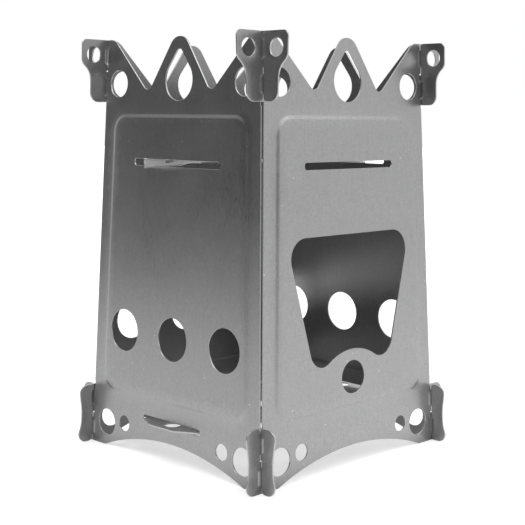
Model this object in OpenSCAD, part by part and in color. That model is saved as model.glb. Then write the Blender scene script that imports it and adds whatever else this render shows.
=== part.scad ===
// Flat-pack twig stove: four hooked panels, a floor plate and a shelf strip, all cut from thin sheet.
// Millimetres. Z is up, the ground is z = 0 and the centre of the stove is x = y = 0.
// A panel is drawn flat, u to the right as seen from outside and s up the sheet, and then leaned inwards.

/* [Stove] */
// Height from the ground to the top of the ears
stove_h = 127; // [123:1:132]
// Distance between neighbouring corner lines at the ground
base_w = 77.6; // [76:0.2:80.4]
// Distance between neighbouring corner lines at the top
top_w = 68.4; // [66.8:0.2:71]
// Thickness of every sheet
sheet_t = 0.5; // [0.4:0.05:0.6]
// How far a panel's side edge stays inside the corner line
edge_gap = 0.35; // [0.35:0.05:1]

/* [Raised field] */
// How far the middle of a panel is pressed outwards
field_h = 0.35; // [0.2:0.05:0.45]
// Sheet left between the hollow side and the raised side of the step
field_wall = 0.5; // [0.4:0.05:0.8]
// Lower edge of the field above the ground
field_low = 18.2; // [17.4:0.1:19.4]
// Upper edge of the field below the top of the ears
field_drop = 22.8; // [22.2:0.1:24.4]
// Distance from the corner line to the field
field_margin = 5.2; // [4.6:0.1:6.4]
// Corner radius of the field
field_r = 5.5; // [4:0.1:7]

/* [Crown] */
// Height of a top ear
ear_h = 19.1; // [18:0.1:20]
// Reach of a top ear beyond the corner line
ear_reach = 9.9; // [9.2:0.1:10.8]
// Height of the wide part of a top ear
ear_pad_h = 8.6; // [8:0.1:9.4]
// Reach of the neck below that wide part
neck_reach = 6.3; // [5.6:0.1:6.8]
// Diameter of the hole in a top ear
ear_hole_d = 5; // [4:0.1:5.6]
// Depth of the notches beside the middle peak
notch_depth = 15.3; // [14.4:0.1:16]
// Distance of a notch from the middle of the panel
notch_x = 14.3; // [13.6:0.1:15]
// Radius at the bottom of a notch
notch_r = 2.2; // [1.6:0.1:2.8]
// Radius of the middle peak
peak_r = 4.8; // [4:0.1:5.2]
// Radius where an ear's top edge turns down into a notch
shoulder_r = 5; // [4:0.1:6]
// Radius of the round end of the teardrop hole
tear_r = 6; // [5:0.1:6.4]
// Depth of that round end's centre below the top
tear_drop = 12.7; // [12:0.1:13.4]
// Radius of the narrow end of the teardrop hole
tear_tip_r = 1.4; // [1:0.1:1.8]
// Diameter of the hole at each upper corner
top_hole_d = 8.2; // [7:0.1:8.8]
// Depth of that hole's centre below the top
top_hole_drop = 13.5; // [13.2:0.1:14.2]

/* [Feet] */
// Height of a bottom ear
foot_h = 18.5; // [17.6:0.1:19.4]
// Reach of a bottom ear beyond the corner line
foot_reach = 5.65; // [5.3:0.05:6.2]
// Reach of a bottom ear at its waist
foot_waist = 4.8; // [4.3:0.05:5.1]
// Corner radius of a bottom ear
foot_r = 2.8; // [2:0.1:3.2]
// Rise of the arched bottom edge
arch_rise = 6.2; // [5:0.1:7]
// Length of a foot inside the corner line
foot_in = 6.7; // [6:0.1:8]
// Diameter of the larger hole above a foot
big_hole_d = 8.2; // [7:0.1:8.6]
// Diameter of the smaller hole beside it
small_hole_d = 5; // [4:0.1:5.6]

/* [Corner joints] */
// Height of the dimples that take up the play in a corner slot
dimple_h = 0.25; // [0.15:0.01:0.3]
// Play left between a dimple and the slot's lip
dimple_play = 0.05; // [0.03:0.01:0.1]
// Width of a dimple
dimple_w = 2.8; // [2:0.1:2.8]
// Height of a dimple along the corner line
dimple_l = 6; // [4:0.1:6]
// Slot length beyond the middle of an ear
slot_over = 0.2; // [0.1:0.05:0.4]
// Radius at the mouth of a corner slot
mouth_r = 1.2; // [0.7:0.1:1.4]

/* [Vents and slots] */
// Diameter of the three vents
vent_d = 13; // [11:0.1:14]
// Distance between neighbouring vents
vent_pitch = 22.8; // [21.4:0.1:23.2]
// Height of the vents above the ground
vent_z = 37.8; // [34:0.2:44]
// Height of the shelf slots above the ground
shelf_z = 90; // [82:0.5:94]
// Length of a shelf slot
shelf_slot_l = 38.5; // [37:0.1:40]
// Height of a shelf slot
shelf_slot_h = 2.1; // [1.9:0.05:2.4]
// Height of the floor slots above the ground
floor_z = 12.1; // [11.6:0.1:12.6]
// Length of a floor slot
floor_slot_l = 26; // [24:0.1:28]
// Height of a floor slot
floor_slot_h = 1.8; // [1.6:0.05:2]
// Corner radius of a shelf slot
shelf_slot_r = 0.9; // [0.4:0.05:0.9]
// Corner radius of a floor slot
floor_slot_r = 0.5; // [0.3:0.05:0.7]

/* [Feed opening] */
// Height of the opening's lowest points above the ground
feed_low = 31.6; // [30.8:0.1:34]
// Height of the opening's top edge above the ground
feed_top = 69.8; // [64:0.2:76]
// Distance of each lower lobe from the middle
lobe_x = 13; // [12:0.1:14]
// Radius of a lower lobe
lobe_r = 5.3; // [4.8:0.1:5.8]
// Radius of the upper corners
feed_r = 6; // [4:0.1:8]
// Slope of the sides away from upright
feed_flare = 15; // [12:0.5:17]
// Rise of the lower edge between the lobes
hump_rise = 3.8; // [3:0.1:4.6]
// Diameter of the ash hole
ash_d = 10; // [8:0.1:10.6]
// Height of the ash hole above the ground
ash_z = 26.9; // [25:0.1:28]

/* [Floor plate and shelf strip] */
// Room between the floor plate and the panels
floor_room = 1.2; // [0.8:0.1:2]
// Diameter of the holes in the floor plate
floor_hole_d = 8; // [6:0.5:10]
// Distance between the holes in the floor plate
floor_pitch = 19; // [16:0.5:20]
// End play of a floor tab along its slot
floor_play = 1.2; // [1.1:0.1:2]
// Gap between the floor plate's tabs and the lower edges of their slots
floor_seat = 0.35; // [0.2:0.05:0.6]
// End play of the shelf strip along its slots
strip_play = 11.9; // [11:0.1:13]
// How far the shelf strip lies to one side in its slots
strip_aside = 2; // [0:0.1:3]
// How far a tab reaches beyond the middle of the wall
tab_out = 4; // [3.5:0.1:5]
// How much a floor tab narrows on each side towards its tip
tab_taper = 7; // [6:0.1:8]
// How much a strip tab narrows on each side towards its tip
strip_taper = 5; // [4:0.1:6]
// Diameter of the hole in each tab
tab_hole_d = 5; // [4:0.1:5.4]
// Play left above the strip's flat part and below its bent tips in their slots
strip_fit = 0.03; // [0.02:0.01:0.1]

/* [Hidden] */
$fn = 48;
steel = [0.62, 0.62, 0.63];
lean = atan((base_w - top_w) / 2 / stove_h);
trim = sheet_t * sin(lean);
panel_h = stove_h / cos(lean) + 2 * trim;
edge_lean = atan(sin(lean));
corner_slot_w = sheet_t + 2 * (dimple_h + dimple_play);
strip_w = shelf_slot_l - strip_play;
ear_mid = panel_h - ear_h / 2;
foot_mid = foot_h / 2;
waist_bulge = foot_reach - foot_waist;
waist_r = (pow(foot_mid - foot_r, 2) + pow(waist_bulge, 2)) / (2 * waist_bulge);
ear_corner_r = 1.8;
ear_lobe_r = 2.4;
neck_r = 6;
neck_end_r = 2.6;
tear_tip_drop = 3.7 + tear_tip_r;
top_hole_in = 6.45;
big_hole_in = 7.3;
big_hole_z = 7.4;
small_hole_in = 16.05;
small_hole_z = 8.4;
shoulder_in = 1.5;
ear_hole_out = 5.3;
tab_hole_in = 0.4;
tab_root = 0.3;
tab_r = 3;
plate_r = 3;
cut = 3;

// Distance from the middle of a panel to its corner line, at s up the sheet.
function u_corner(s) = base_w / 2 - s * sin(lean);

// How far up the sheet a height above the ground lies.
function up(z) = z / cos(lean) + trim;

// Points on an arc, from angle a to angle b, close enough together to stay within 0.02 of it.
function arc(x, y, r, a, b) = let (n = max(2, ceil(abs(b - a) / (2 * acos(1 - 0.02 / r)))))
    [for (i = [0 : n]) [x + r * cos(a + (b - a) * i / n), y + r * sin(a + (b - a) * i / n)]];

// The same points on the other side of the middle, in the order that closes the outline.
function flipped(p) = [for (i = [len(p) - 1 : -1 : 0]) [-p[i][0], p[i][1]]];

// Direction of the straight flank that joins a convex arc of radius ra to a concave one of radius rb.
function flank(ax, ay, ra, bx, by, rb, side) =
    atan2(by - ay, bx - ax) + side * acos((ra + rb) / norm([bx - ax, by - ay]));

// Half of a panel's outline, from the middle of the arch round the right-hand side to the peak.
function half_outline() = let (
        arch_x = u_corner(0) - foot_in,
        arch_r = (pow(arch_x, 2) + pow(arch_rise, 2)) / (2 * arch_rise),
        arch_end = acos(arch_x / arch_r),
        foot_x = u_corner(foot_r) + foot_reach - foot_r,
        foot_top_x = u_corner(foot_h - foot_r) + foot_reach - foot_r,
        waist_x = u_corner(foot_mid) + foot_waist + waist_r,
        waist_a = asin((foot_mid - foot_r) / waist_r),
        ear_low = panel_h - ear_h,
        neck_x = u_corner(ear_mid) + neck_reach,
        pad_x = u_corner(panel_h) + ear_reach,
        pad_y = panel_h - ear_pad_h + ear_lobe_r,
        bend_x = neck_x + neck_r,
        bend_y = pad_y - sqrt(pow(neck_r + ear_lobe_r, 2) - pow(bend_x - pad_x + ear_lobe_r, 2)),
        bend_a = atan2(pad_y - bend_y, pad_x - ear_lobe_r - bend_x),
        top_x = u_corner(panel_h) - shoulder_in,
        top_y = panel_h - shoulder_r,
        dip_y = panel_h - notch_depth + notch_r,
        peak_y = panel_h - peak_r,
        outer = flank(top_x, top_y, shoulder_r, notch_x, dip_y, notch_r, -1) + 360,
        inner = flank(0, peak_y, peak_r, notch_x, dip_y, notch_r, 1)
    ) concat(
        arc(0, arch_rise - arch_r, arch_r, 90, arch_end),
        arc(foot_x, foot_r, foot_r, -90, 0),
        arc(waist_x, foot_mid, waist_r, 180 + waist_a * 0.7, 180 - waist_a * 0.7),
        arc(foot_top_x, foot_h - foot_r, foot_r, 0, 90),
        [[u_corner(foot_h) - edge_gap, foot_h]],
        [[u_corner(ear_low) - edge_gap, ear_low]],
        arc(neck_x - neck_end_r, ear_low + neck_end_r, neck_end_r, -90, 0),
        arc(bend_x, bend_y, neck_r, 180, bend_a),
        arc(pad_x - ear_lobe_r, pad_y, ear_lobe_r, bend_a - 180, 0),
        arc(pad_x - ear_corner_r, panel_h - ear_corner_r, ear_corner_r, 0, 90),
        arc(top_x, top_y, shoulder_r, 90, outer),
        arc(notch_x, dip_y, notch_r, outer - 180, inner - 180),
        arc(0, peak_y, peak_r, inner, 90)
    );

// Things placed along the corner line, at s up the sheet. side is 1 at the right and -1 at the left.
module on_corner(side, s) {
    translate([side * u_corner(s), s]) rotate(side * edge_lean) children();
}

// A corner slot from the middle of an ear to its mouth, which is rounded on the ear's side.
// way is 1 when the mouth is at the top.
module corner_slot(side, s, way, reach) {
    half = corner_slot_w / 2;
    on_corner(side, s) scale([side, way]) {
        translate([-half, -slot_over]) square([corner_slot_w, reach + slot_over + 1]);
        difference() {
            translate([0, reach - mouth_r]) square([half + mouth_r, mouth_r + 1]);
            translate([half + mouth_r, reach - mouth_r]) circle(mouth_r);
        }
    }
}

// A slot with corners of radius r, lying across the panel.
module long_slot(l, h, r) {
    square([l, h - 2 * r], center = true);
    square([l - 2 * r, h], center = true);
    for (x = [-1, 1], y = [-1, 1]) translate([x * (l / 2 - r), y * (h / 2 - r)]) circle(r);
}

// An upright oval.
module oval(w, l) {
    square([w, l - w], center = true);
    for (side = [-1, 1]) translate([0, side * (l - w) / 2]) circle(w / 2);
}

// The raised field's outline, drawn smaller by the amount inset.
module field(inset) {
    r = field_r - inset;
    low = field_low + inset;
    high = panel_h - field_drop - inset;
    low_x = u_corner(low + r) - field_margin - inset - r;
    high_x = u_corner(high - r) - field_margin - inset - r;
    right = concat(arc(low_x, low + r, r, -90, edge_lean), arc(high_x, high - r, r, edge_lean, 90));
    polygon(concat(right, flipped(right)));
}

// The teardrop hole in the peak.
module teardrop() {
    round_y = panel_h - tear_drop;
    tip_y = panel_h - tear_tip_drop;
    a = asin((tear_r - tear_tip_r) / (tip_y - round_y));
    polygon(concat(arc(0, round_y, tear_r, 180 - a, 360 + a), arc(0, tip_y, tear_tip_r, a, 180 - a)));
}

// The opening that twigs are fed through.
module feed_hole() {
    lobe_y = feed_low + lobe_r;
    top_y = feed_top - feed_r;
    top_x = lobe_x + (lobe_r - feed_r + (top_y - lobe_y) * sin(feed_flare)) / cos(feed_flare);
    up = lobe_r - hump_rise;
    hump_r = (pow(lobe_x, 2) + pow(up, 2) - pow(lobe_r, 2)) / (2 * (lobe_r - up));
    hump_y = feed_low + hump_rise - hump_r;
    a = atan2(lobe_y - hump_y, lobe_x);
    right = concat(
        arc(0, hump_y, hump_r, 90, a),
        arc(lobe_x, lobe_y, lobe_r, a - 180, -feed_flare),
        arc(top_x, top_y, feed_r, -feed_flare, 90)
    );
    polygon(concat(right, flipped(right)));
}

// The holes that every panel has.
module common_holes() {
    teardrop();
    for (side = [-1, 1]) {
        translate([side * (u_corner(ear_mid) + ear_hole_out), panel_h - 4.6]) circle(d = ear_hole_d);
        translate([side * (u_corner(ear_mid) - top_hole_in), panel_h - top_hole_drop]) circle(d = top_hole_d);
        translate([side * (u_corner(foot_mid) - big_hole_in), big_hole_z]) circle(d = big_hole_d);
        translate([side * (u_corner(foot_mid) - small_hole_in), small_hole_z]) circle(d = small_hole_d);
    }
    translate([0, up(shelf_z)]) long_slot(shelf_slot_l, shelf_slot_h, shelf_slot_r);
    corner_slot(1, ear_mid, -1, ear_h / 2);
    corner_slot(1, foot_mid, -1, foot_mid);
    corner_slot(-1, ear_mid, 1, ear_h / 2);
    corner_slot(-1, foot_mid, 1, foot_mid);
}

// The openings of the three vented panels.
module vent_holes() {
    for (i = [-1 : 1]) translate([i * vent_pitch, up(vent_z)]) circle(d = vent_d);
    translate([0, up(floor_z)]) long_slot(floor_slot_l, floor_slot_h, floor_slot_r);
}

// The openings of the panel with the feed opening.
module feed_holes() {
    feed_hole();
    translate([0, up(ash_z)]) circle(d = ash_d);
}

// The dimples, one on the solid half of each ear. less makes them smaller for the hollow side.
module dimples(less) {
    on_corner(1, ear_mid + ear_h / 4) oval(dimple_w - less, dimple_l - less);
    on_corner(1, foot_mid + foot_h / 4) oval(dimple_w - less, dimple_l - less);
    on_corner(-1, ear_mid - ear_h / 4) oval(dimple_w - less, dimple_l - less);
    on_corner(-1, foot_mid - foot_h / 4) oval(dimple_w - less, dimple_l - less);
}

// One pressed panel, flat, outside upwards. Its children are its own openings.
module flat_panel() {
    half = half_outline();
    difference() {
        union() {
            linear_extrude(height = sheet_t, center = true) polygon(concat(half, flipped(half)));
            linear_extrude(height = sheet_t / 2 + field_h) field(0);
            linear_extrude(height = sheet_t / 2 + dimple_h) dimples(0);
        }
        translate([0, 0, -cut]) linear_extrude(height = cut - sheet_t / 2 + field_h) field(field_wall);
        translate([0, 0, -cut]) linear_extrude(height = cut - sheet_t / 2 + dimple_h) dimples(0.8);
        linear_extrude(height = 2 * cut, center = true) {
            common_holes();
            children();
        }
    }
}

// Leans a flat panel in, turns it to its side of the stove and trims its feet and ears level.
module stand_panel(turn) {
    intersection() {
        rotate(turn) translate([0, -base_w / 2, 0]) rotate([90 - lean, 0, 0]) translate([0, -trim, 0])
            children();
        translate([-base_w, -base_w, 0]) cube([2 * base_w, 2 * base_w, stove_h]);
    }
}

module front_panel() {
    color(steel) stand_panel(0) flat_panel() feed_holes();
}

module right_panel() {
    color(steel) stand_panel(90) flat_panel() vent_holes();
}

module back_panel() {
    color(steel) stand_panel(180) flat_panel() vent_holes();
}

module left_panel() {
    color(steel) stand_panel(270) flat_panel() vent_holes();
}

// Outline of a tab along +X: full width up to its root, then narrowing to a rounded tip.
module tab(w, taper, from_x, root_x, tip_x) {
    tip_y = w / 2 - taper;
    a = atan((tip_x - root_x) / taper);
    corner_y = tip_y - tab_r * tan(a / 2);
    polygon(concat(
        [[from_x, -w / 2], [root_x, -w / 2]],
        arc(tip_x - tab_r, -corner_y, tab_r, -a, 0),
        arc(tip_x - tab_r, corner_y, tab_r, 0, a),
        [[root_x, w / 2], [from_x, w / 2]]
    ));
}

// The hole in the tab at each end of a sheet.
module tab_holes(wall) {
    for (side = [-1, 1]) translate([side * (wall - tab_hole_in), 0]) circle(d = tab_hole_d);
}

// The floor plate lies on the lower edges of its slots.
module floor_plate() {
    wall = base_w / 2 - floor_z * tan(lean);
    half = wall - sheet_t / 2 - floor_room;
    seat_z = floor_z - floor_slot_h / 2 * cos(lean) + trim / 2;
    color(steel) translate([0, 0, seat_z + floor_seat]) linear_extrude(height = sheet_t) difference() {
        union() {
            square([2 * half, 2 * (half - plate_r)], center = true);
            square([2 * (half - plate_r), 2 * half], center = true);
            for (x = [-1, 1], y = [-1, 1]) translate([x, y] * (half - plate_r)) circle(plate_r);
            for (a = [0, 180]) rotate(a)
                tab(floor_slot_l - floor_play, tab_taper, 0, wall + tab_root, wall + tab_out);
        }
        for (i = [-1 : 1], j = [-1 : 1]) translate([i, j] * floor_pitch) circle(d = floor_hole_d);
        tab_holes(wall);
    }
}

// The strip seen from the side: flat at a height of rise, its ends bent down to -rise at the tips.
module strip_side(bend_x, tip_x, rise) {
    d = tip_x - bend_x;
    a = acos(sheet_t / norm([2 * rise, d])) - atan(d / 2 / rise);
    beyond = d + 1;
    half = [
        [bend_x, rise],
        [bend_x + beyond, rise - beyond * tan(a)],
        [bend_x + beyond, -rise - tan(a)],
        [bend_x - sheet_t * tan(a / 2), rise - sheet_t]
    ];
    polygon(concat(half, flipped(half)));
}

// The strip lies against the upper edges of its slots, and its tabs are bent down outside the walls.
module shelf_strip() {
    wall = base_w / 2 - shelf_z * tan(lean);
    tip = wall + tab_out;
    rise = shelf_slot_h / 2 * cos(lean) - trim - strip_fit;
    color(steel) translate([0, strip_aside, shelf_z]) intersection() {
        linear_extrude(height = 2 * cut, center = true) difference() {
            for (a = [0, 180]) rotate(a) tab(strip_w, strip_taper, 0, wall + tab_root, tip);
            tab_holes(wall);
        }
        rotate([90, 0, 0]) linear_extrude(height = strip_w + cut, center = true) strip_side(wall, tip, rise);
    }
}

front_panel();
left_panel();
back_panel();
right_panel();
floor_plate();
shelf_strip();
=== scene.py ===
"""A twig stove in bare grey sheet metal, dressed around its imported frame."""
import math

import bmesh
import bpy
import numpy as np
from mathutils import Matrix, Vector
from mathutils.bvhtree import BVHTree
from mathutils.geometry import delaunay_2d_cdt


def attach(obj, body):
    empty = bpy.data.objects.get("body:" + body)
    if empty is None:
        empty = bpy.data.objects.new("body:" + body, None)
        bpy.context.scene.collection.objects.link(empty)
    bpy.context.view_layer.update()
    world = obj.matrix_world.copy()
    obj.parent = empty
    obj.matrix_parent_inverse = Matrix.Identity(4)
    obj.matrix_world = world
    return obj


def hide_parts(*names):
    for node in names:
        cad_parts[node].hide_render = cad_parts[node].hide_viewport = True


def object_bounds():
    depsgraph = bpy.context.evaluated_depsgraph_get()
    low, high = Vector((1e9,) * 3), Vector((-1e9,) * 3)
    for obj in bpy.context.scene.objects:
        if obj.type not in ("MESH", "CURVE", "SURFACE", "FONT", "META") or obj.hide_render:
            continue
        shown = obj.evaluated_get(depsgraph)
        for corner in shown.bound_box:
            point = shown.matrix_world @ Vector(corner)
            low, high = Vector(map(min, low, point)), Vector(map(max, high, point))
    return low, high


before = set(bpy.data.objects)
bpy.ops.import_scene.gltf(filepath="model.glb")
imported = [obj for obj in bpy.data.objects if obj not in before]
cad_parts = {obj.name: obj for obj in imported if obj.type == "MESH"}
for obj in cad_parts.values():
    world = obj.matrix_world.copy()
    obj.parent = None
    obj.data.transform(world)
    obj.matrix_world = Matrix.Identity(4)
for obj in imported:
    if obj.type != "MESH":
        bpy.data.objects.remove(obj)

# The sheets and the camera's place are in millimetres until a mesh or the camera is made. The floor,
# its shades and the lamp are in metres.
MM = 0.001
CAD_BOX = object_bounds()

# How a sheet's outline is read from its node: vertices this close are one, and levels are told apart
# in these steps
WELD = 0.002
LEVEL_STEP = 0.05
# How far the normal of a face points outwards, or upwards, where the face counts as such
FACES_OUT = 0.9
FACES_OUT_SQUARELY = 0.95
FACES_UP = 0.5
FACES_UP_LEVEL = 0.9995
# A hole and a form are one line where their areas differ by less than this share, and their middles
# by less than this distance
SAME_AREA = 0.02
SAME_MIDDLE = 0.5

# How the sheets are meshed: the round of a cut edge, and how far apart points lie along the loops and
# in the grid
EDGE_ROUND = 0.08
LOOP_STEP = 1.2
GRID_STEP = 2.6
# How clear the grid stays of all lines, as a share of its step, and the rings stay of the loops
GRID_CLEAR = 0.4
RING_CLEAR = 0.2
MERGE = 1e-5
SMOOTH_ANGLE = math.radians(30)
# A chord lies on a round where the loop turns by less than this at both its ends, and where it is less
# than this many times as long as its neighbours
ROUND_TURN = 0.6
ROUND_EVEN = 1.6
# Sharp corners are mitred no further than this allows
LEAST_SPREAD = 0.5
# The squared length of an edge counts as at least this, so that nothing is divided by zero
LEAST_SQUARE = 1e-12

# How far before and behind its line a pressed form rises, how many rings carry its slope, and how
# much of the slope is rounded. A form of less than the small area is a dimple.
FIELD_RISE = (-0.25, 1.05)
DIMPLE_RISE = (-0.1, 0.65)
RISE_RINGS = 9
ROUNDED_SHARE = 0.4
SMALL_FORM = 40.0

# The way that each panel faces
PANELS = {
    "front_panel": (0, -1, 0),
    "left_panel": (-1, 0, 0),
    "back_panel": (0, 1, 0),
    "right_panel": (1, 0, 0),
}

# The bends of a lying sheet are softened over this distance, and carried by lines of points. Its
# height is read by rays from this far above it.
BEND_SOFT = 0.5
BEND_LINES = (-1.2, -0.6, -0.2, 0.2, 0.6, 1.2)
RAY_START = 50
# The strip lies loosely. Its far end rests on the lower edge of its slot, unbent. The tab at its near
# end is a little askew, by a turn that it reaches at some distance outside the bend, and sags.
LOOSE = "shelf_strip"
ASKEW_TURN = math.radians(5)
ASKEW_RUN = 2.5
TAB_SAG = 0.6


# Reading a sheet's outline from its node

def welded(node):
    """A bmesh of a node, its vertices joined again where hard edges split them."""
    bm = bmesh.new()
    bm.from_mesh(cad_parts[node].data)
    bmesh.ops.remove_doubles(bm, verts=bm.verts, dist=WELD * MM)
    bm.normal_update()
    return bm


def standing_axes(bm, out):
    """Rows that turn a point into: right, up the sheet and outwards."""
    total = Vector()
    for face in bm.faces:
        if face.normal.dot(out) > FACES_OUT:
            total += face.normal * face.calc_area()
    outwards = total.normalized()
    right = Vector((0, 0, 1)).cross(outwards).normalized()
    return Matrix((right, outwards.cross(right), outwards))


def signed_area(loop):
    """The area in a loop, above zero where the loop runs anticlockwise."""
    after = np.roll(loop, -1, axis=0)
    return 0.5 * float(np.sum(loop[:, 0] * after[:, 1] - after[:, 0] * loop[:, 1]))


def boundary_loops(faces, axes):
    """Closed loops round a set of faces, with the faces on their left."""
    edges = {(loop.vert.index, loop.link_loop_next.vert.index) for face in faces for loop in face.loops}
    follow = {a: b for a, b in edges if (b, a) not in edges}
    place = {v.index: axes @ v.co / MM for face in faces for v in face.verts}
    loops = []
    while follow:
        chain = []
        at = min(follow)
        while at in follow:
            chain.append(place[at].xy[:])
            at = follow.pop(at)
        loops.append(np.array(chain))
    return loops


def levels_of_faces(bm, axes):
    """The faces that look outwards, each after its level, and the levels of those that look inwards."""
    outer = []
    inner = []
    for face in bm.faces:
        turn = face.normal.dot(axes[2])
        level = (axes @ face.calc_center_median()).z / MM
        if turn > FACES_OUT_SQUARELY:
            outer.append((level, face))
        elif turn < -FACES_OUT_SQUARELY:
            inner.append(level)
    return outer, inner


def same_line(hole, form):
    """True for the hole in the rim that a pressed form fills."""
    areas_match = abs(signed_area(hole) + signed_area(form)) < SAME_AREA * signed_area(form)
    return areas_match and np.linalg.norm(hole.mean(axis=0) - form.mean(axis=0)) < SAME_MIDDLE


def read_panel(node, out):
    """A panel's axes, level, thickness, cut loops and pressed forms."""
    bm = welded(node)
    axes = standing_axes(bm, Vector(out))
    outer, inner = levels_of_faces(bm, axes)
    rim_level = min(level for level, _ in outer)
    steps = {}
    for level, face in outer:
        steps.setdefault(round((level - rim_level) / LEVEL_STEP), []).append(face)
    loops = boundary_loops(steps.pop(0), axes)
    forms = []
    for step in sorted(steps):
        for loop in boundary_loops(steps[step], axes):
            if signed_area(loop) > 0:
                forms.append((loop, step * LEVEL_STEP))
            else:
                loops.append(loop)
    loops = [loop for loop in loops if not any(same_line(loop, form) for form, _ in forms)]
    thickness = rim_level - min(inner)
    bm.free()
    return axes, rim_level - thickness / 2, thickness, loops, forms


# Lines and distances in the plane of a sheet

def refined(loop):
    """Adds points: on the round between the ends of a short chord, and along a long straight edge."""
    before = np.roll(loop, 1, axis=0)
    after = np.roll(loop, -1, axis=0)
    edge = after - loop
    length = np.linalg.norm(edge, axis=1)
    heading = np.arctan2(edge[:, 1], edge[:, 0])
    turn = (heading - np.roll(heading, 1) + math.pi) % (2 * math.pi) - math.pi
    last = np.linalg.norm(loop - before, axis=1)
    points = []
    for i, point in enumerate(loop):
        j = (i + 1) % len(loop)
        points.append(point)
        bends = turn[i] * turn[j] > 0 and max(abs(turn[i]), abs(turn[j])) < ROUND_TURN
        even = length[i] < ROUND_EVEN * min(last[i], length[j])
        if bends and even:
            # The chord spans the mean of the two turns, and a quarter of that gives the arc's rise
            rise = length[i] / 2 * math.tan((turn[i] + turn[j]) / 2 / 4)
            side = np.array((edge[i, 1], -edge[i, 0])) / length[i]
            points.append(point + edge[i] / 2 + side * rise)
        else:
            parts = max(1, math.ceil(length[i] / LOOP_STEP))
            points.extend(point + edge[i] * k / parts for k in range(1, parts))
    return np.array(points)


def shifted(loop, by):
    """The loop moved to its left, with mitred corners."""
    edge = np.roll(loop, -1, axis=0) - loop
    edge /= np.linalg.norm(edge, axis=1)[:, None]
    left = np.stack((-edge[:, 1], edge[:, 0]), axis=1)
    left_before = np.roll(left, 1, axis=0)
    spread = 1 + np.sum(left * left_before, axis=1)
    return loop + by * (left + left_before) / np.maximum(spread, LEAST_SPREAD)[:, None]


def segments(loops):
    """The starts and the ends of all edges of the loops."""
    starts = np.concatenate(loops)
    ends = np.concatenate([np.roll(loop, -1, axis=0) for loop in loops])
    return starts, ends


def distance(points, loops):
    """Distance of each point to the nearest of the loops."""
    starts, ends = segments(loops)
    ways = ends - starts
    squares = np.maximum(np.sum(ways * ways, axis=1), LEAST_SQUARE)
    nearest = np.full(len(points), np.inf)
    for start, way, square in zip(starts, ways, squares):
        offset = points - start
        share = np.clip(offset @ way / square, 0, 1)
        gap = offset - share[:, None] * way
        nearest = np.minimum(nearest, np.sum(gap * gap, axis=1))
    return np.sqrt(nearest)


def inside(points, loops):
    """True for the points that the loops enclose, holes left out."""
    starts, ends = segments(loops)
    odd = np.zeros(len(points), dtype=bool)
    for (x0, y0), (x1, y1) in zip(starts, ends):
        if y0 == y1:
            continue
        crosses = (y0 > points[:, 1]) != (y1 > points[:, 1])
        odd ^= crosses & (points[:, 0] < x0 + (points[:, 1] - y0) * (x1 - x0) / (y1 - y0))
    return odd


# Pressed forms

def rise_of(loop):
    """How far before and behind its line the form in this loop rises."""
    return DIMPLE_RISE if signed_area(loop) < SMALL_FORM else FIELD_RISE


def pressed_height(points, forms):
    """How far the pressed forms lift each point of the sheet."""
    height = np.zeros(len(points))
    for loop, top in forms:
        before, behind = rise_of(loop)
        depth = distance(points, [loop]) * np.where(inside(points, [loop]), 1, -1)
        share = np.clip((depth - before) / (behind - before), 0, 1)
        rounded = 0.5 - 0.5 * np.cos(math.pi * share)
        height += top * (ROUNDED_SHARE * rounded + (1 - ROUNDED_SHARE) * share)
    return height


def slope_rings(forms):
    """Rings of points that carry the slopes of the pressed forms."""
    rings = []
    for loop, _ in forms:
        before, behind = rise_of(loop)
        line = refined(loop)
        for k in range(RISE_RINGS):
            rings.append(shifted(line, before + (behind - before) * k / (RISE_RINGS - 1)))
    return rings


# Meshing a sheet

def loop_edges(first, count):
    """Edges round a loop whose points are numbered from first."""
    return [(first + i, first + (i + 1) % count) for i in range(count)]


def ring_edges(first, clear):
    """Edges between neighbours in a ring that are both clear; only clear points have numbers."""
    number = np.cumsum(clear) - 1 + first
    edges = []
    for i in range(len(clear)):
        j = (i + 1) % len(clear)
        if clear[i] and clear[j]:
            edges.append((int(number[i]), int(number[j])))
    return edges


def grid_points(loops, rings):
    """Points in staggered rows between the loops, clear of them and of the rings."""
    outline = np.concatenate(loops)
    low = outline.min(axis=0)
    high = outline.max(axis=0)
    columns = np.arange(low[0] + GRID_STEP / 2, high[0], GRID_STEP)
    rows = np.arange(low[1] + GRID_STEP / 2, high[1], GRID_STEP)
    grid = np.array([(x + (k % 2) * GRID_STEP / 2, y) for k, y in enumerate(rows) for x in columns])
    return grid[inside(grid, loops) & (distance(grid, loops + rings) > GRID_STEP * GRID_CLEAR)]


def kept_triangles(points, faces, loops):
    """The faces between the loops, all turned to run anticlockwise."""
    centres = np.array([points[list(face)].mean(axis=0) for face in faces])
    triangles = []
    for face, keep in zip(faces, inside(centres, loops)):
        if keep:
            anticlockwise = signed_area(points[list(face)]) > 0
            triangles.append(tuple(face) if anticlockwise else tuple(reversed(face)))
    return triangles


def triangulated(loops, rings):
    """The points, the triangles between the loops, and the numbers of each loop's own points."""
    points = []
    edges = []
    for loop in loops:
        edges += loop_edges(len(points), len(loop))
        points.extend(loop)
    for ring in rings:
        clear = (distance(ring, loops) > RING_CLEAR) & inside(ring, loops)
        edges += ring_edges(len(points), clear)
        points.extend(ring[clear])
    points.extend(grid_points(loops, rings))
    corners = [Vector(point) for point in points]
    made, _, faces, origins, _, _ = delaunay_2d_cdt(corners, edges, [], 0, MERGE)
    made = np.array([point[:] for point in made])
    index = {source: k for k, sources in enumerate(origins) for source in sources}
    rims = []
    first = 0
    for loop in loops:
        rims.append([index[first + i] for i in range(len(loop))])
        first += len(loop)
    return made, kept_triangles(made, faces, loops), rims


def in_box(point):
    """The point in metres, kept in the solids' own box."""
    low, high = CAD_BOX
    return Vector([min(max(value, least), most) for value, least, most in zip(point * MM, low, high)])


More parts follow.
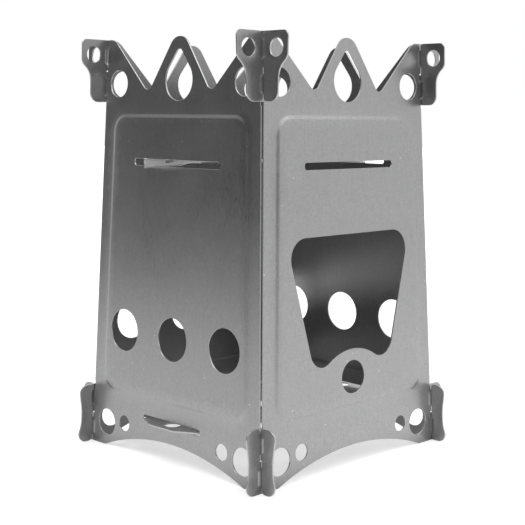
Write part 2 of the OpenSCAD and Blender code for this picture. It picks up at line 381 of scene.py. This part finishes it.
def cut_faces(rim, under, first):
    """Faces round a cut: the rounded upper edge, the cut itself and the rounded lower edge."""
    count = len(rim)
    faces = []
    for i in range(count):
        j = (i + 1) % count
        faces.append((rim[i], first + i, first + j, rim[j]))
        faces.append((first + i, first + count + i, first + count + j, first + j))
        faces.append((first + count + i, under + rim[i], under + rim[j], first + count + j))
    return faces


def sheet_mesh(name, axes, level, thickness, loops, rings, height):
    """A sheet of even thickness with rounded cut edges, drawn in the plane and lifted by height."""
    loops = [refined(loop) for loop in loops]
    flat, triangles, rims = triangulated([shifted(loop, EDGE_ROUND) for loop in loops], rings)
    back = axes.transposed()
    half = thickness / 2

    def placed(points, lift, offset):
        levels = lift + level + offset
        return [in_box(back @ Vector((p[0], p[1], z))) for p, z in zip(points, levels)]

    lift = height(flat)
    verts = placed(flat, lift, half) + placed(flat, lift, -half)
    under = len(flat)
    faces = triangles + [tuple(under + i for i in reversed(face)) for face in triangles]
    cut_from = len(faces)
    for loop, rim in zip(loops, rims):
        lift = height(loop)
        faces += cut_faces(rim, under, len(verts))
        verts += placed(loop, lift, half - EDGE_ROUND) + placed(loop, lift, EDGE_ROUND - half)
    mesh = bpy.data.meshes.new(name)
    mesh.from_pydata(verts, [], faces)
    mesh.polygons.foreach_set("material_index", [int(i >= cut_from) for i in range(len(faces))])
    mesh.validate()
    mesh.shade_smooth()
    mesh.set_sharp_from_angle(angle=SMOOTH_ANGLE)
    return mesh


def add_piece(node, body, mesh, materials):
    """Puts a mesh in the scene in place of its node."""
    piece = bpy.data.objects.new(node + "_metal", mesh)
    bpy.context.scene.collection.objects.link(piece)
    for material in materials:
        mesh.materials.append(material)
    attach(piece, body)
    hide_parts(node)


def add_panel(node, out, materials):
    """Adds a panel, and gives the thickness of its sheet."""
    axes, level, thickness, loops, forms = read_panel(node, out)

    def height(points):
        return pressed_height(points, forms)

    mesh = sheet_mesh(node, axes, level, thickness, loops, slope_rings(forms), height)
    add_piece(node, "root", mesh, materials)
    return thickness


# Lying sheets

def bend_places(bm, upper):
    """Where along X the upper side of a lying sheet bends."""
    level = {face.index for face in upper if face.normal.z > FACES_UP_LEVEL}
    places = set()
    for edge in bm.edges:
        flat = [face.index in level for face in edge.link_faces if face.normal.z > FACES_UP]
        if len(flat) == 2 and flat[0] != flat[1]:
            places.add(round(sum(vert.co.x for vert in edge.verts) / 2 / MM, 1))
    return sorted(places)


def bend_rings(bends, loops):
    """Lines of points across the sheet beside each bend."""
    outline = np.concatenate(loops)
    across = np.arange(outline[:, 1].min(), outline[:, 1].max(), LOOP_STEP)
    return [np.array([(bend + step, y) for y in across]) for bend in bends for step in BEND_LINES]


def solid_height(bm, upper):
    """A function that gives the height of the solid's upper side at a place."""
    corners = [vert.co / MM for vert in bm.verts]
    tree = BVHTree.FromPolygons(corners, [[vert.index for vert in face.verts] for face in upper])
    middle = sum(face.calc_center_median().z for face in upper) / len(upper) / MM

    def height(x, y):
        hit = tree.ray_cast(Vector((x, y, middle + RAY_START)), Vector((0, 0, -1)))[0]
        if hit is None:
            hit = tree.find_nearest(Vector((x, y, middle)))[0]
        return hit.z

    return height


def softened(points, solid, bends):
    """The solid's height at each point, as a mean over a short way near the bends."""
    near_steps = (-BEND_SOFT, -BEND_SOFT / 2, 0, BEND_SOFT / 2, BEND_SOFT)
    heights = []
    for x, y in points:
        near_bend = any(abs(x - bend) < 2 * BEND_SOFT for bend in bends)
        steps = near_steps if near_bend else (0,)
        heights.append(sum(solid(x + step, y) for step in steps) / len(steps))
    return np.array(heights)


def loosened(points, lifts, bends, lowest, highest, middle_y):
    """The lifts of a strip that slants down from its near bend to its far one, its near tab askew."""
    near = min(bends)
    far = max(bends)
    x = points[:, 0]
    slanted = highest + (lowest - highest) * np.clip((x - near) / (far - near), 0, 1)
    outside = np.clip((near - x) / ASKEW_RUN, 0, 1)
    askew = lifts - outside * math.tan(ASKEW_TURN) * (points[:, 1] - middle_y)
    tab = np.clip(np.minimum(askew, slanted), lowest - TAB_SAG, highest)
    return np.where(x > near + 2 * BEND_SOFT, slanted, tab)


def add_lying(node, body, thickness, materials):
    """Adds a lying sheet, which follows the upper side of its solid, with its bends softened."""
    bm = welded(node)
    axes = Matrix.Identity(3)
    upper = [face for face in bm.faces if face.normal.z > FACES_UP]
    loops = boundary_loops(upper, axes)
    bends = bend_places(bm, upper)
    solid = solid_height(bm, upper)
    levels = [vert.co.z for vert in bm.verts]
    lowest = min(levels) / MM + thickness / 2
    highest = max(levels) / MM - thickness / 2
    bm.free()

    def height(points):
        lifts = softened(points, solid, bends) - thickness / 2
        if node != LOOSE:
            return lifts
        return loosened(points, lifts, bends, lowest, highest, loops[0][:, 1].mean())

    mesh = sheet_mesh(node, axes, 0, thickness, loops, bend_rings(bends, loops), height)
    add_piece(node, body, mesh, materials)


# Shader nodes

WHITE = (1, 1, 1, 1)


def add(tree, kind, inputs=None, **settings):
    """A shader node. Its inputs are values, or the sockets that feed them."""
    node = tree.nodes.new(kind)
    for key, value in settings.items():
        setattr(node, key, value)
    for key, value in (inputs or {}).items():
        if isinstance(value, bpy.types.NodeSocket):
            tree.links.new(value, node.inputs[key])
        else:
            node.inputs[key].default_value = value
    return node


def times(tree, a, b):
    return add(tree, "ShaderNodeMath", {0: a, 1: b}, operation="MULTIPLY").outputs[0]


def plus(tree, a, b):
    return add(tree, "ShaderNodeMath", {0: a, 1: b}, operation="ADD").outputs[0]


def mixed(tree, share, a, b):
    return add(tree, "ShaderNodeMix", {0: share, 2: a, 3: b}).outputs[0]


def facing(tree, way, axis):
    """How far a direction points along an axis."""
    product = add(tree, "ShaderNodeVectorMath", {0: way, 1: axis}, operation="DOT_PRODUCT")
    return product.outputs["Value"]


def ranged(tree, value, span, to, interpolation="LINEAR"):
    """The value, with its span laid over another, and cut off at the ends."""
    inputs = {
        "Value": value, "From Min": span[0], "From Max": span[1], "To Min": to[0], "To Max": to[1],
    }
    return add(tree, "ShaderNodeMapRange", inputs, interpolation_type=interpolation).outputs["Result"]


def smooth_step(tree, value, span, to):
    return ranged(tree, value, span, to, "SMOOTHSTEP")


def glowing(tree, strength):
    return add(tree, "ShaderNodeEmission", {"Color": WHITE, "Strength": strength}).outputs[0]


def new_material(name):
    material = bpy.data.materials.new(name)
    material.use_nodes = True
    material.node_tree.nodes.clear()
    return material, material.node_tree


# Metals. Scales are per metre, and a shade is a share of the metal's tone.

# The grain's axis, the tone and the roughness of each rolled sheet, and the tone and the roughness of
# the cut edges. The plate's and the strip's tones are painted light: they are lighter than the panels'
# to stand in for light that falls on the lying sheets and their tabs.
UPRIGHT = (2, (0.44, 0.44, 0.445), 0.32)
PAINTED_LIGHT_PLATE = (0, (0.62, 0.62, 0.625), 0.5)
PAINTED_LIGHT_STRIP = (1, (0.78, 0.78, 0.785), 0.5)
# The cut edges are lighter than the panels' rolled faces: partly bare cut metal, partly a painted
# highlight on the rims
CUT = ((0.62, 0.62, 0.63), 0.35)

# Noise in the rolled sheet. The grain and the streaks have a scale across and one along the grain.
GRAIN_SCALE = (5200, 520)
STREAK_SCALE = (2600, 26)
GRIT_SCALE = 1900
PATCH_SCALE = 55
MOTTLE_SCALE = 420
SPECK_SCALE = 420
FINE_DETAIL = 3
PLAIN_DETAIL = 2
SHEET_NOISE_ROUGH = 0.55
EDGE_NOISE_ROUGH = 0.5
# The middle of a noise's range, which is spread over the range of what it changes
NOISE_SPAN = (0.3, 0.7)
STREAK_SPAN = (0.35, 0.65)
# What the noises change: shade and roughness
GRAIN_SHADE = (0.95, 1.04)
GRIT_SHADE = (-0.08, 0.08)
SOFT_SHADE = (-0.02, 0.02)
GRAIN_MATT = 0.04
PATCH_MATT = (-0.02, 0.02)
# Only the cells of the specks' pattern with a high random value have a speck, which is light, and
# fades out between two distances from its middle
SPECK_CELLS = (0.88, 0.92)
SPECK_FADES = (0.07, 0.13)
SPECK_SHADE = 0.6
# Relief of the sheet: how much of it is grain and mottle, its strength and its depth in metres
RELIEF_GRAIN = 0.4
RELIEF_MOTTLE = 0.3
RELIEF_STRENGTH = 0.35
RELIEF_DEPTH = 0.00004

# Marks on the cut edges
MARK_SCALE = 2600
MARK_SHADE = (0.9, 1.08)
MARK_MATT = 0.05
MARK_STRENGTH = 0.3
MARK_DEPTH = 0.00003


def noise(tree, vector, scale, detail, roughness=SHEET_NOISE_ROUGH):
    inputs = {"Vector": vector, "Scale": scale, "Detail": detail, "Roughness": roughness}
    return add(tree, "ShaderNodeTexNoise", inputs).outputs["Fac"]


def stretched(tree, place, grain, scales):
    """The place scaled across the grain's axis and along it."""
    across, along = scales
    scale = [along if axis == grain else across for axis in range(3)]
    return add(tree, "ShaderNodeMapping", {"Vector": place, "Scale": scale}).outputs["Vector"]


def specks(tree, place):
    """Small dots, one in about ten cells of the pattern: 1 in a dot and 0 elsewhere."""
    cells = add(tree, "ShaderNodeTexVoronoi", {
        "Vector": place, "Scale": SPECK_SCALE, "Randomness": 1.0,
    })
    value = add(tree, "ShaderNodeSeparateColor", {"Color": cells.outputs["Color"]}).outputs[0]
    chosen = ranged(tree, value, SPECK_CELLS, (0, 1))
    return times(tree, ranged(tree, cells.outputs["Distance"], SPECK_FADES, (1, 0)), chosen)


def bare_metal(tree, tone, shade, matt, relief, strength, depth):
    """Ends a material as metal, with a shaded tone, a roughness and a fine relief."""
    grey = add(tree, "ShaderNodeVectorMath", {0: tone, "Scale": shade}, operation="SCALE").outputs[0]
    bump = add(tree, "ShaderNodeBump", {"Strength": strength, "Distance": depth, "Height": relief})
    metal = add(tree, "ShaderNodeBsdfPrincipled", {
        "Base Color": grey, "Metallic": 1.0, "Roughness": matt, "Normal": bump.outputs[0],
    })
    add(tree, "ShaderNodeOutputMaterial", {"Surface": metal.outputs[0]})


def sheet_metal(name, grain, tone, rough):
    """Satin grey sheet: rolling grain and faint streaks along one axis, mottling, grit and specks."""
    material, tree = new_material(name)
    place = add(tree, "ShaderNodeTexCoord").outputs["Object"]
    fine = noise(tree, stretched(tree, place, grain, GRAIN_SCALE), 1, FINE_DETAIL)
    grit = noise(tree, place, GRIT_SCALE, PLAIN_DETAIL)
    streak = noise(tree, stretched(tree, place, grain, STREAK_SCALE), 1, PLAIN_DETAIL)
    patch = noise(tree, place, PATCH_SCALE, FINE_DETAIL)
    mottle = noise(tree, place, MOTTLE_SCALE, FINE_DETAIL)
    shade = ranged(tree, fine, NOISE_SPAN, GRAIN_SHADE)
    shade = plus(tree, shade, ranged(tree, patch, NOISE_SPAN, SOFT_SHADE))
    shade = plus(tree, shade, ranged(tree, mottle, NOISE_SPAN, SOFT_SHADE))
    shade = plus(tree, shade, ranged(tree, grit, NOISE_SPAN, GRIT_SHADE))
    shade = plus(tree, shade, ranged(tree, streak, STREAK_SPAN, SOFT_SHADE))
    shade = plus(tree, shade, times(tree, specks(tree, place), SPECK_SHADE))
    matt = ranged(tree, fine, NOISE_SPAN, (rough - GRAIN_MATT, rough + GRAIN_MATT))
    matt = plus(tree, matt, ranged(tree, patch, NOISE_SPAN, PATCH_MATT))
    relief = times(tree, plus(tree, fine, grit), RELIEF_GRAIN)
    relief = plus(tree, relief, times(tree, mottle, RELIEF_MOTTLE))
    bare_metal(tree, tone, shade, matt, relief, RELIEF_STRENGTH, RELIEF_DEPTH)
    return material


def cut_edge_and_highlight(name, tone, rough):
    """Cut edge with fine cut marks, lighter than the rolled faces: part bare metal, part painted
    highlight.
    """
    material, tree = new_material(name)
    place = add(tree, "ShaderNodeTexCoord").outputs["Object"]
    marks = noise(tree, place, MARK_SCALE, PLAIN_DETAIL, EDGE_NOISE_ROUGH)
    shade = ranged(tree, marks, NOISE_SPAN, MARK_SHADE)
    matt = ranged(tree, marks, NOISE_SPAN, (rough - MARK_MATT, rough + MARK_MATT))
    bare_metal(tree, tone, shade, matt, marks, MARK_STRENGTH, MARK_DEPTH)
    return material


# The room that the metal mirrors. Its spans, and TABLE_TURN below, are of how far a direction points
# along an axis, from -1 to 1.

# A bright side, a dark side and a faint glow behind the camera
BRIGHT_WAY = Vector((0.94, 0.34, 0.0)).normalized()
ROOM_DARK = 0.04
ROOM_BRIGHT = 0.81
ROOM_TURN = (-0.5, 0.5)
CAMERA_WAY = Vector((-0.73, -0.68, 0.0)).normalized()
CAMERA_GLOW = 0.36
CAMERA_GLOW_SPAN = (0.6, 0.95)
# A ceiling that is darker right overhead
TOP_LEVEL = 0.6
TOP_SPAN = (0.35, 0.9)
ZENITH_LEVEL = 0.18
ZENITH_SPAN = (0.85, 0.98)
# Two soft glows higher up, one that the front panel mirrors and a fainter one for the left panel
GLOW_WAY = Vector((0.3, -0.7, 0.65)).normalized()
GLOW_LEVEL = 0.8
GLOW_SPAN = (0.8, 0.97)
SIDE_GLOW_WAY = Vector((-0.5, 0.61, 0.61)).normalized()
SIDE_GLOW_LEVEL = 0.2
SIDE_GLOW_SPAN = (0.88, 0.97)


def room_sides(tree, way):
    """How bright the room is in a level direction."""
    sides = smooth_step(tree, facing(tree, way, BRIGHT_WAY), ROOM_TURN, (ROOM_DARK, ROOM_BRIGHT))
    behind = smooth_step(tree, facing(tree, way, CAMERA_WAY), CAMERA_GLOW_SPAN, (0.0, CAMERA_GLOW))
    return plus(tree, sides, behind)


def room(tree, way):
    """How bright the room is in any direction."""
    rise = add(tree, "ShaderNodeSeparateXYZ", {0: way}).outputs["Z"]
    overhead = smooth_step(tree, rise, TOP_SPAN, (0.0, 1.0))
    ceiling = smooth_step(tree, rise, ZENITH_SPAN, (TOP_LEVEL, ZENITH_LEVEL))
    glow = smooth_step(tree, facing(tree, way, GLOW_WAY), GLOW_SPAN, (0.0, GLOW_LEVEL))
    side_facing = facing(tree, way, SIDE_GLOW_WAY)
    side_glow = smooth_step(tree, side_facing, SIDE_GLOW_SPAN, (0.0, SIDE_GLOW_LEVEL))
    sides_and_top = mixed(tree, overhead, room_sides(tree, way), ceiling)
    return plus(tree, sides_and_top, plus(tree, glow, side_glow))


def add_world():
    """White to the camera, and to the metal the room."""
    world = bpy.data.worlds.new("studio")
    bpy.context.scene.world = world
    world.use_nodes = True
    world.cycles.sampling_method = "NONE"
    tree = world.node_tree
    tree.nodes.clear()
    way = add(tree, "ShaderNodeTexCoord").outputs["Generated"]
    seen = add(tree, "ShaderNodeLightPath").outputs["Is Camera Ray"]
    strength = mixed(tree, seen, room(tree, way), 1.0)
    sky = add(tree, "ShaderNodeBackground", {"Color": WHITE, "Strength": strength})
    add(tree, "ShaderNodeOutputWorld", {"Surface": sky.outputs[0]})


# Floor, lamp and camera

FLOOR_SIZE = 6.0
FLOOR_WHITE = (0.8, 0.8, 0.8, 1)
FLOOR_LIFT = 0.75
# How near the object keeps the room's light off the floor, and how much of it, as the camera sees it
# and as the metal mirrors it
SHADE_REACH = 0.017
SHADE_DEPTH = 0.45
MIRRORED_REACH = 0.025
MIRRORED_DEPTH = 1.0
SHADE_SAMPLES = 6
# Between these distances from the stove's middle the floor passes into the room
TABLE_ENDS = (0.3, 0.72)
# The table that the metal mirrors is dimmer on the room's dark side, and brightest close to the stove
TABLE_LEVEL = (0.86, 1.0)
TABLE_TURN = (-0.8, 0.4)
CLOSE_BOOST = 1.15
CLOSE_ENDS = (0.05, 0.1)


def light_left(tree, reach, depth):
    """The share of the room's light that the object leaves on the floor."""
    free = add(tree, "ShaderNodeAmbientOcclusion", {"Distance": reach}, samples=SHADE_SAMPLES)
    return ranged(tree, free.outputs["AO"], (0, 1), (1 - depth, 1))


def floor_seen(tree, away):
    """The floor as the camera sees it: matt white, lifted by the room's light."""
    lit = add(tree, "ShaderNodeBsdfDiffuse", {"Color": FLOOR_WHITE}).outputs[0]
    lift = smooth_step(tree, away, TABLE_ENDS, (FLOOR_LIFT, 1.0))
    shaded = glowing(tree, times(tree, lift, light_left(tree, SHADE_REACH, SHADE_DEPTH)))
    return add(tree, "ShaderNodeAddShader", {0: lit, 1: shaded}).outputs[0]


def floor_mirrored(tree, away, way):
    """The floor as the metal mirrors it: a table top that passes softly into the room."""
    sides = smooth_step(tree, facing(tree, way, BRIGHT_WAY), TABLE_TURN, TABLE_LEVEL)
    close = smooth_step(tree, away, CLOSE_ENDS, (CLOSE_BOOST, 1.0))
    far = smooth_step(tree, away, TABLE_ENDS, (0.0, 1.0))
    level = mixed(tree, far, times(tree, sides, close), room_sides(tree, way))
    return glowing(tree, times(tree, level, light_left(tree, MIRRORED_REACH, MIRRORED_DEPTH)))


def floor_material():
    material, tree = new_material("floor_white")
    place = add(tree, "ShaderNodeTexCoord").outputs["Object"]
    away = add(tree, "ShaderNodeVectorMath", {0: place}, operation="LENGTH").outputs["Value"]
    way = add(tree, "ShaderNodeVectorMath", {0: place}, operation="NORMALIZE").outputs[0]
    surface = add(tree, "ShaderNodeMixShader", {
        0: add(tree, "ShaderNodeLightPath").outputs["Is Glossy Ray"],
        1: floor_seen(tree, away),
        2: floor_mirrored(tree, away, way),
    })
    add(tree, "ShaderNodeOutputMaterial", {"Surface": surface.outputs[0]})
    material.cycles.emission_sampling = "NONE"
    return material


def add_floor():
    half = FLOOR_SIZE / 2
    corners = [(-half, -half, 0), (half, -half, 0), (half, half, 0), (-half, half, 0)]
    mesh = bpy.data.meshes.new("floor")
    mesh.from_pydata(corners, [], [(0, 1, 2, 3)])
    mesh.materials.append(floor_material())
    floor = bpy.data.objects.new("floor", mesh)
    bpy.context.scene.collection.objects.link(floor)


# The lamp, and the point that it is aimed at
LAMP_WATTS = 4
LAMP_SIZE = 0.6
LAMP_PLACE = (-0.7, -0.25, 1.2)
LAMP_AIM = Vector((0, 0, 0.05))


def add_lamp():
    """One large soft lamp overhead."""
    light = bpy.data.lights.new("softbox", "AREA")
    light.size = LAMP_SIZE
    light.energy = LAMP_WATTS
    lamp = bpy.data.objects.new("softbox", light)
    lamp.location = LAMP_PLACE
    lamp.rotation_euler = (LAMP_AIM - lamp.location).to_track_quat("-Z", "Y").to_euler()
    bpy.context.scene.collection.objects.link(lamp)


# The photo's camera, as it was fitted to points picked one by one. Its yaw is from the Y axis, and its
# dip below the level.
CAMERA_PLACE = (-256.5, -262.3, 103.95)
CAMERA_YAW = math.radians(47.16)
CAMERA_DIP = math.radians(6.51)
CAMERA_ROLL = math.radians(0.544)
CAMERA_LENS = 79.5
CAMERA_SENSOR = 36
CAMERA_SHIFT = (-0.110, -0.025)
CAMERA_CLIP = 0.01


def add_camera():
    forward = Vector((math.sin(CAMERA_YAW), math.cos(CAMERA_YAW), 0))
    right = Vector((math.cos(CAMERA_YAW), -math.sin(CAMERA_YAW), 0))
    upright = Vector((0, 0, 1))
    ahead = forward * math.cos(CAMERA_DIP) - upright * math.sin(CAMERA_DIP)
    above = upright * math.cos(CAMERA_DIP) + forward * math.sin(CAMERA_DIP)
    side = right * math.cos(CAMERA_ROLL) + above * math.sin(CAMERA_ROLL)
    top = above * math.cos(CAMERA_ROLL) - right * math.sin(CAMERA_ROLL)
    data = bpy.data.cameras.new("camera")
    data.sensor_width = CAMERA_SENSOR
    data.lens = CAMERA_LENS
    data.shift_x, data.shift_y = CAMERA_SHIFT
    data.clip_start = CAMERA_CLIP
    camera = bpy.data.objects.new("camera", data)
    turn = Matrix((side, top, -ahead)).transposed().to_4x4()
    camera.matrix_world = Matrix.Translation(Vector(CAMERA_PLACE) * MM) @ turn
    bpy.context.scene.collection.objects.link(camera)
    bpy.context.scene.camera = camera


def main():
    edge = cut_edge_and_highlight("cut_edge_and_highlight", *CUT)
    panel_metal = sheet_metal("sheet_upright", *UPRIGHT)
    # The plate and the strip are lighter than the panels as painted light on the lying sheets
    plate_metal_painted_light = sheet_metal("sheet_plate_painted_light", *PAINTED_LIGHT_PLATE)
    strip_metal_painted_light = sheet_metal("sheet_strip_painted_light", *PAINTED_LIGHT_STRIP)
    for node, out in PANELS.items():
        thickness = add_panel(node, out, [panel_metal, edge])
    # The lying sheets are as thick as the panels
    add_lying("floor_plate", "root", thickness, [plate_metal_painted_light, edge])
    add_lying("shelf_strip", "shelf", thickness, [strip_metal_painted_light, edge])
    add_floor()
    add_world()
    add_lamp()
    add_camera()
    bpy.context.scene.view_settings.view_transform = "Standard"


main()
